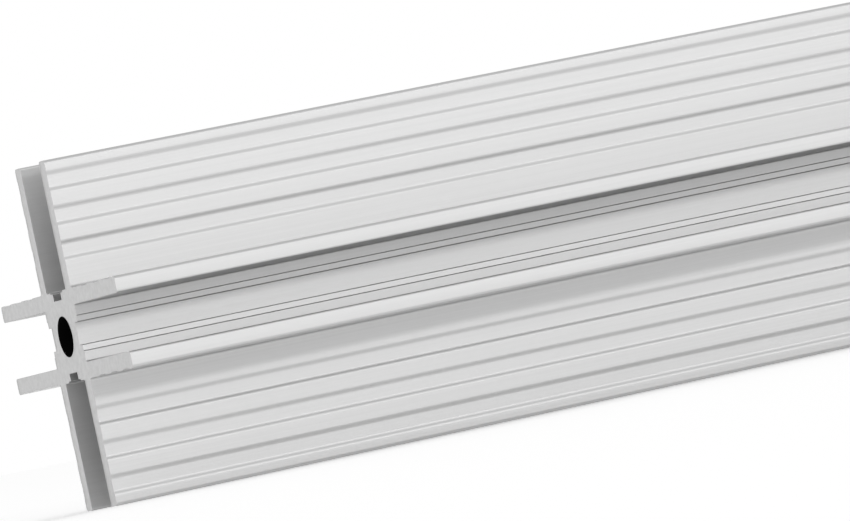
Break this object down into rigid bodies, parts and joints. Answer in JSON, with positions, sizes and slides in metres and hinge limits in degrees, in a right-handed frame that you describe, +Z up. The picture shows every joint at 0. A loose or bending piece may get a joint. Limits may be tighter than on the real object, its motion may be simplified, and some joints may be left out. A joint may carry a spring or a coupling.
{
  "type": "aluminium extrusion profile",
  "caption": "Cross-shaped aluminium extrusion with an open board channel on every side, fluted outer walls and a round screw bore through the core, for joining thin panels.",
  "frame": {"origin": "on the floor plane, under the middle of the stock", "axes": "+X along the stock, +Z up through the upper channel, Y across through the side channels"},
  "size_m": [1, 0.042, 0.042],
  "materials": {
    "profile_aluminium": "clear satin anodised, with sawn ends"
  },
  "bodies": {
    "root": {"profile": "profile_aluminium"}
  },
  "joints": []
}
